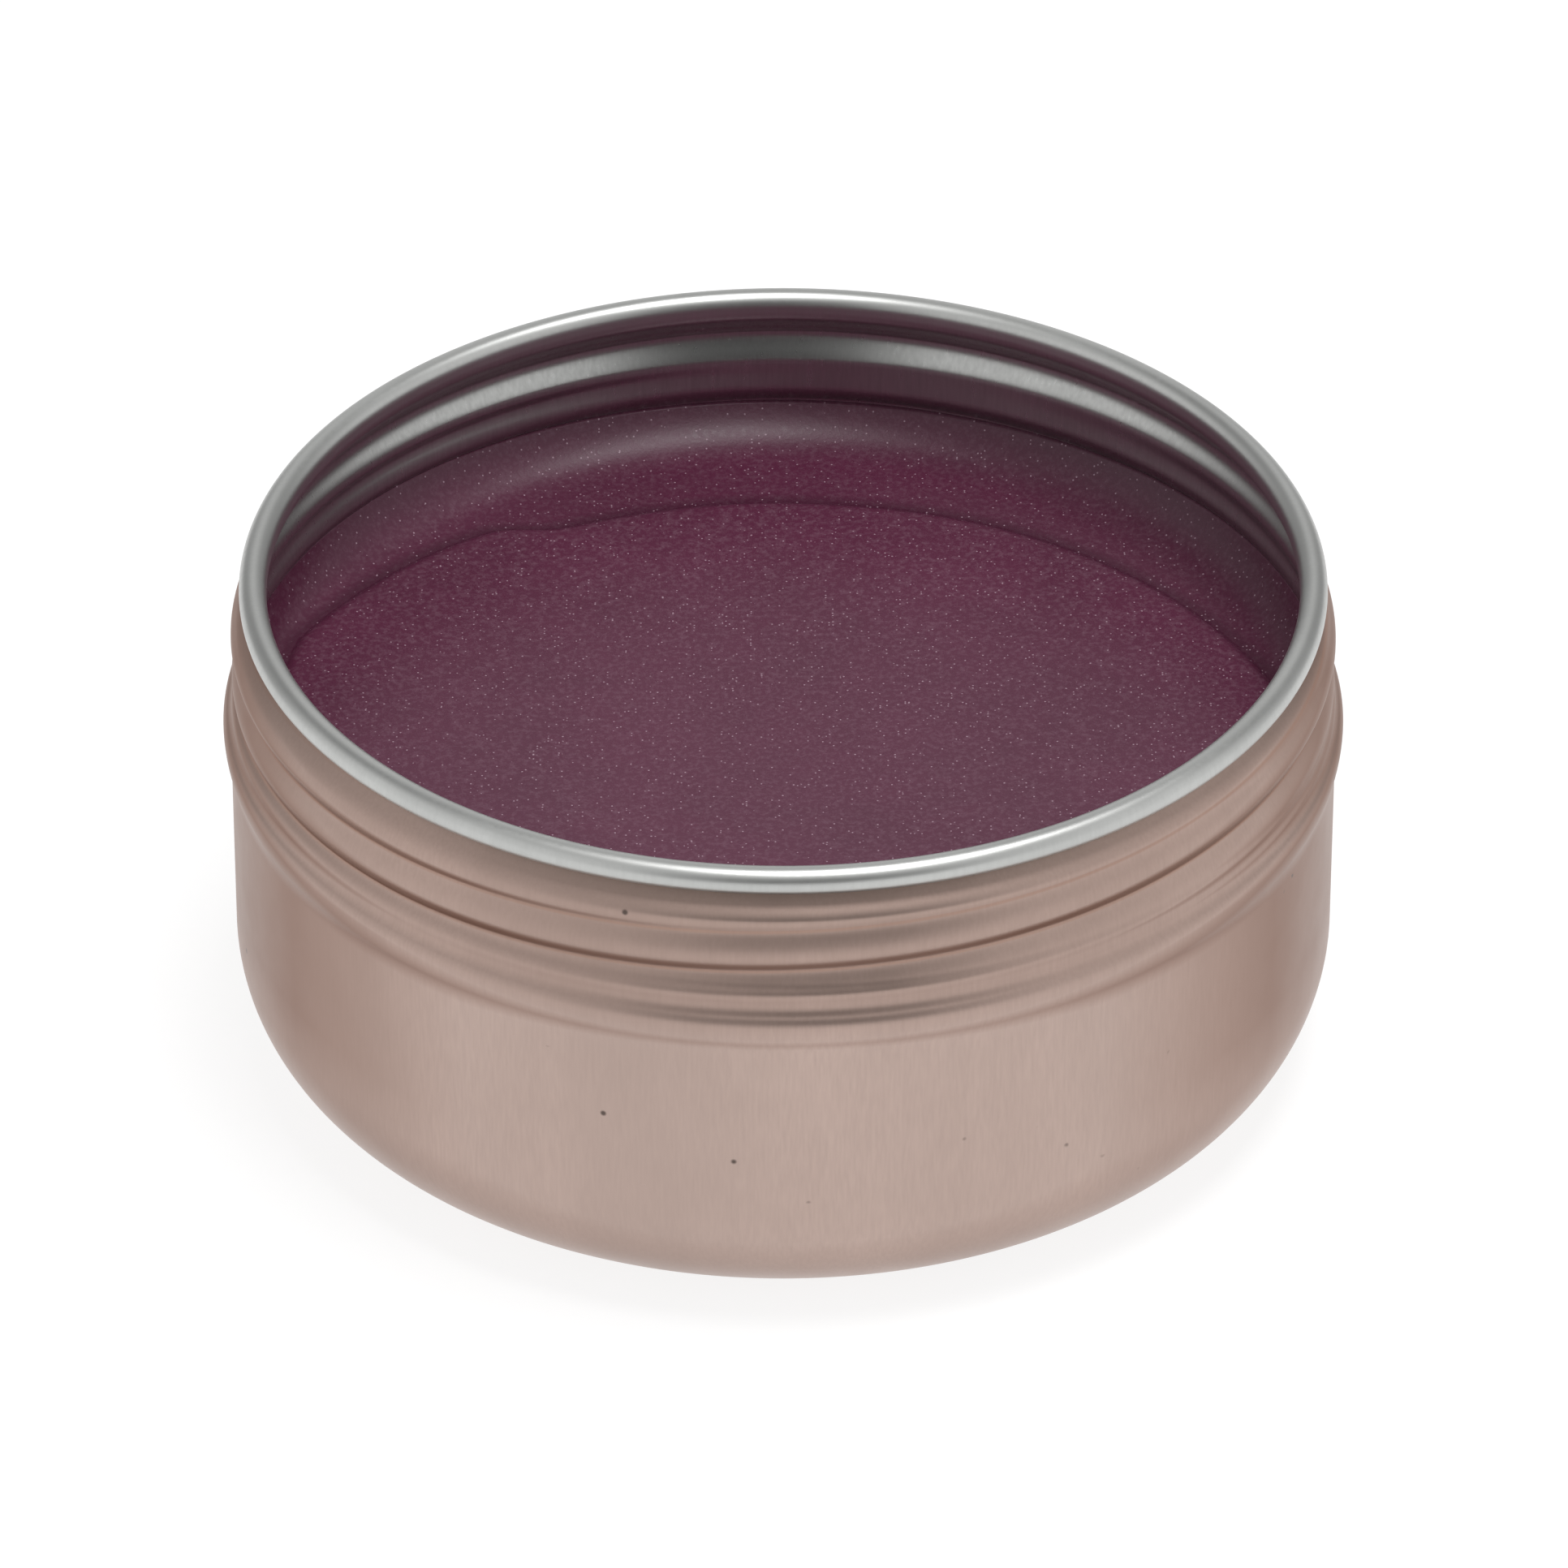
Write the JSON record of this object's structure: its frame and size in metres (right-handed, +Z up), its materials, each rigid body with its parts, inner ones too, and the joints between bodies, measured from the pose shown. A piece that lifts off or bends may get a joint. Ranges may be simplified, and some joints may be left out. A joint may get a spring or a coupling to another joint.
{
  "type": "shoe polish tin",
  "caption": "Open round screw-top tin of wax shoe polish, with a curled rim, a rolled thread on the neck, a bead below it and a rounded base; the lid is off.",
  "frame": {"origin": "centre of the face that the tin stands on", "axes": "+Z up along the tin's axis, out of its open mouth; -Y is the front, where the polish tin is looked at from"},
  "size_m": [0.0776, 0.0776, 0.0371],
  "materials": {
    "aluminium_tin": "satin rose-gold anodised outside, bare drawn aluminium inside and on the curled rim",
    "wax_polish": "semi-gloss plum wax with a fine pearl fleck"
  },
  "bodies": {
    "root": {"tin_body": "aluminium_tin", "polish": "wax_polish"}
  },
  "joints": []
}
